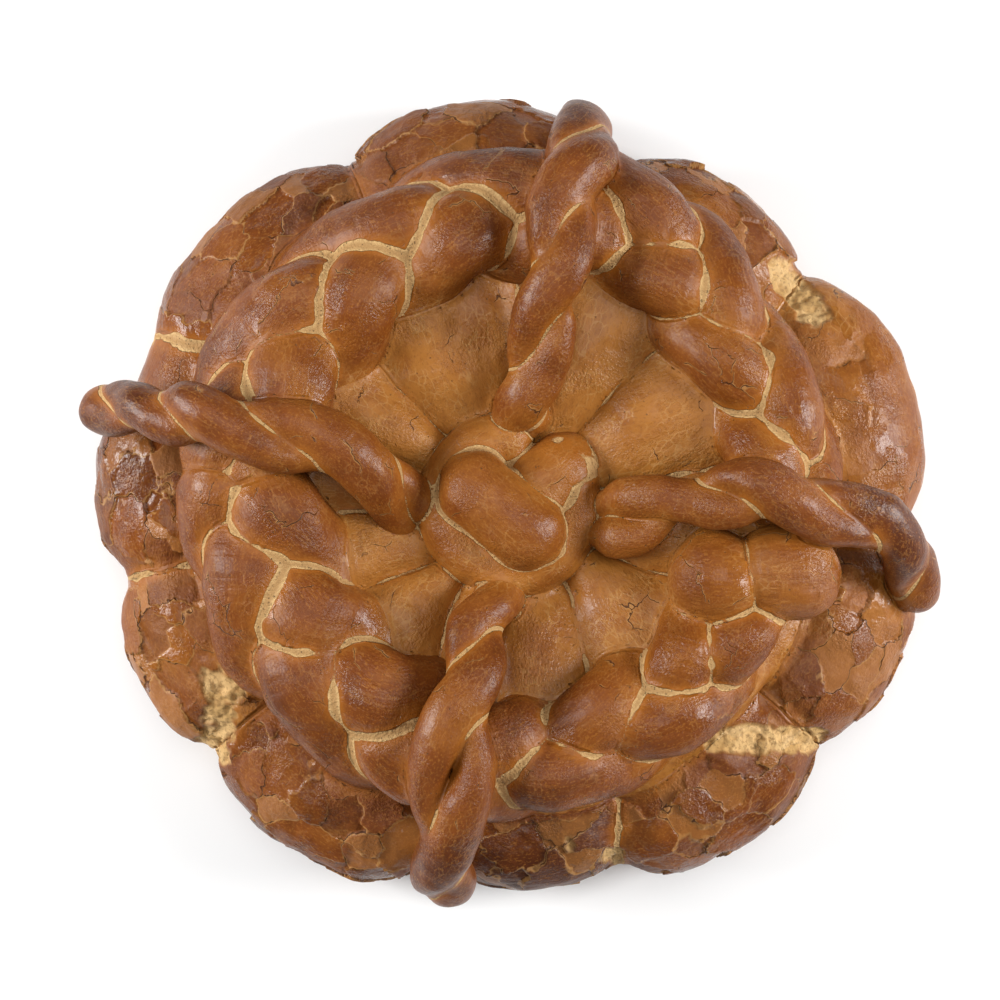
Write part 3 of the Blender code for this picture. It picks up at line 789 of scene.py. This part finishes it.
def paint_crust(tree):
    """Builds the look of the crust."""
    def share(value, factor):
        return number(tree, "MULTIPLY", value, factor)

    place = tree.nodes.new("ShaderNodeTexCoord").outputs["Object"]
    rolled = carried(tree, "rolled", "FLOAT_VECTOR")
    torn = carried(tree, "torn")
    cover = carried(tree, "cover")
    wide = carried(tree, "wide")
    lift, edge, tones = skin_plates(tree)
    streaked = vector(tree, "MULTIPLY", rolled, (0.70, 1.0, 1.0))

    # the seam: how far a place lies inside it, and how far outside
    grain = clouds(tree, place, 0.0015, 2.0)[0]
    from_seam = number(tree, "MULTIPLY_ADD", number(tree, "SUBTRACT", grain, 0.5), 0.0006, carried(tree, "seam"))
    inside = number(tree, "DIVIDE", from_seam, number(tree, "ADD", wide, 0.0001))
    beyond = number(tree, "SUBTRACT", from_seam, wide)
    in_seam = ease(tree, beyond, 0.0002, -0.0002)

    # brown, with bubbles and streaks along the rolling
    skin = colour(tree, carried(tree, "brown"), (0.0, LIGHT_GOLD), (0.3, GOLD), (0.62, CHESTNUT), (1.0, DARK_BROWN))
    specks = clouds(tree, streaked, 0.0010, 2.0, 0.7)[0]
    skin = mixed(tree, ease(tree, specks, 0.52, 0.68, 0.0, 0.46), skin, LIGHT_GOLD)
    skin = mixed(tree, ease(tree, specks, 0.45, 0.30, 0.0, 0.28), skin, DARK_BROWN)
    skin = mixed(tree, ease(tree, clouds(tree, streaked, 0.0034, 2.0)[0], 0.50, 0.30, 0.0, 0.25), skin, CHESTNUT)

    # crazed skin: fine pale lines around small cells
    bent = join(tree, "ShaderNodeCombineXYZ", {"X": share(specks, 0.0012), "Y": share(grain, 0.0012)}).outputs[0]
    net = cells(tree, vector(tree, "ADD", streaked, bent), 0.0037, "DISTANCE_TO_EDGE")
    crazed = number(tree, "MULTIPLY", ease(tree, net["Distance"], 0.080, 0.02), carried(tree, "crazing"))
    crazed = number(tree, "MULTIPLY", crazed, ease(tree, carried(tree, "brown"), 0.15, 0.45, 0.48, 0.14))
    skin = mixed(tree, crazed, skin, CRAZED)

    # plates: each has its own tone, a pale broken edge and a dark crack
    plate_tone = colour(tree, tones[0], (0.0, (0.74, 0.72, 0.68)), (0.5, (1.0, 1.0, 1.0)), (1.0, (1.32, 1.35, 1.40)))
    skin = mixed(tree, share(cover, 0.8), skin, plate_tone, "MULTIPLY")
    skin = mixed(tree, number(tree, "MULTIPLY", cover, ease(tree, tones[0], 0.66, 0.72, 0.0, 0.5)), skin, DRY_SKIN)
    rim = number(tree, "MULTIPLY", number(tree, "MAXIMUM", cover, carried(tree, "cracked")), ease(tree, edge, 0.0008, 0.0002))
    skin = mixed(tree, number(tree, "MULTIPLY", rim, ease(tree, tones[1], 0.40, 0.75, 0.08, 0.55)), skin, CRAZED)
    crack = number(tree, "MULTIPLY", carried(tree, "cracked"), ease(tree, edge, 0.00022, 0.00008))
    skin = mixed(tree, share(crack, 0.9), skin, CRACK)

    # the seam between strands, and torn crumb
    golden = number(tree, "MULTIPLY", ease(tree, beyond, 0.0042, 0.0), ease(tree, wide, 0.0002, 0.0008))
    skin = mixed(tree, share(golden, 0.7), skin, SEAM_EDGE)
    pores = cells(tree, place, 0.0013)
    pore_kind = join(tree, "ShaderNodeSeparateXYZ", {0: pores["Color"]}).outputs[0]
    pore = number(tree, "MULTIPLY", ease(tree, pores["Distance"], 0.34, 0.20), ease(
        tree, pore_kind, number(tree, "SUBTRACT", 0.985, share(in_seam, 0.40)), 1.0))
    # Deep in the crease the seam turns darker: partly its crumb skin, partly painted shade of the crease.
    dough = colour(tree, inside, (0.0, SEAM_DEEP_AND_SHADE), (0.25, SEAM_DEEP_AND_SHADE), (0.85, SEAM_CREAM), (1.0, SEAM_CREAM))
    threads = clouds(tree, vector(tree, "MULTIPLY", rolled, (1.0, 0.2, 0.2)), 0.0008, 1.0)[0]
    dough = mixed(tree, ease(tree, threads, 0.53, 0.38, 0.0, 0.7), dough, SEAM_DEEP_AND_SHADE)
    skin = mixed(tree, in_seam, skin, dough)
    skin = mixed(tree, share(pore, 0.7), skin, (0.10, 0.055, 0.022))
    holes = ease(tree, grain, 0.48, 0.36)
    crumb = mixed(tree, ease(tree, lift, -0.002, 0.002), SEAM_CREAM, CRUMB)
    crumb = mixed(tree, share(holes, 0.55), crumb, (0.26, 0.145, 0.055))
    skin = mixed(tree, torn, skin, crumb)

    # relief too fine for the geometry
    wrinkles = clouds(tree, rolled, 0.0013, 2.0, 0.6)[0]
    relief = number(tree, "MULTIPLY", wrinkles, ease(tree, carried(tree, "wrinkled"), 0.0, 1.0, 0.00022, 0.00070))
    relief = number(tree, "ADD", relief, share(number(tree, "MULTIPLY", lift, carried(tree, "faceted")), 0.20))
    relief = number(tree, "MULTIPLY", relief, ease(tree, carried(tree, "seam"), 0.0008, 0.0025))
    relief = number(tree, "ADD", relief, share(crack, -0.0006))
    relief = number(tree, "ADD", relief, share(pore, -0.0004))
    relief = number(tree, "ADD", relief, number(tree, "MULTIPLY", in_seam, number(tree, "MULTIPLY_ADD", grain, 0.0010, -0.0011)))
    bump = join(tree, "ShaderNodeBump", {"Height": relief, "Distance": 1.0, "Strength": 1.0}).outputs[0]

    # each plate takes the glaze differently
    gloss = ease(tree, tones[2], 0.35, 0.65, 0.20, 0.48)
    gloss = join(tree, "ShaderNodeMix", {"Factor": carried(tree, "faceted"), "A": 0.35, "B": gloss},
                 data_type="FLOAT").outputs["Result"]
    rough = number(tree, "ADD", gloss, share(number(tree, "MAXIMUM", in_seam, torn), 0.4))
    return skin, rough, bump


crust.use_nodes = True
tree = crust.node_tree
shader = tree.nodes["Principled BSDF"]
skin_colour, rough, bump = paint_crust(tree)
tree.links.new(skin_colour, shader.inputs["Base Color"])
tree.links.new(rough, shader.inputs["Roughness"])
shader.inputs["Specular IOR Level"].default_value = 0.28
tree.links.new(bump, shader.inputs["Normal"])


# ---- Table, light and camera ---------------------------------------------------------------------------------------
# The loaf stands on a plain pale table, seen straight from above in soft light from both sides.

table = bpy.data.meshes.new("table")
table.from_pydata([(-3, -3, 0), (3, -3, 0), (3, 3, 0), (-3, 3, 0)], [], [(0, 1, 2, 3)])
paint = bpy.data.materials.new("pale_table")
paint.use_nodes = True
paint.node_tree.nodes["Principled BSDF"].inputs["Base Color"].default_value = (0.9, 0.9, 0.9, 1)
paint.node_tree.nodes["Principled BSDF"].inputs["Roughness"].default_value = 0.8
table.materials.append(paint)
floor = bpy.data.objects.new("table", table)
bpy.context.scene.collection.objects.link(floor)


def add_light(name, place, size, power):
    """A soft square light that faces the loaf."""
    lamp = bpy.data.lights.new(name, "AREA")
    lamp.size = size
    lamp.energy = power
    holder = bpy.data.objects.new(name, lamp)
    holder.location = place
    holder.rotation_euler = (-Vector(place)).to_track_quat("-Z", "Y").to_euler()
    bpy.context.scene.collection.objects.link(holder)


add_light("left_window", (-1.15, 0.12, 0.66), 0.5, 17.5)
add_light("right_window", (1.15, 0.02, 0.66), 0.5, 17.5)
add_light("ceiling", (0.0, 0.3, 1.9), 1.2, 11)

world = bpy.data.worlds.new("room")
world.use_nodes = True
world.node_tree.nodes["Background"].inputs["Color"].default_value = (1, 1, 1, 1)
world.node_tree.nodes["Background"].inputs["Strength"].default_value = 0.235
bpy.context.scene.world = world
bpy.context.scene.view_settings.view_transform = "Standard"

eye = bpy.data.cameras.new("camera")
eye.sensor_width = 36
eye.lens = 36 * 0.905 / 0.5
camera = bpy.data.objects.new("camera", eye)
camera.location = (-0.005 - OUTLINE_CENTRE[0], 0.0025 - OUTLINE_CENTRE[1], 0.95)
bpy.context.scene.collection.objects.link(camera)
bpy.context.scene.camera = camera
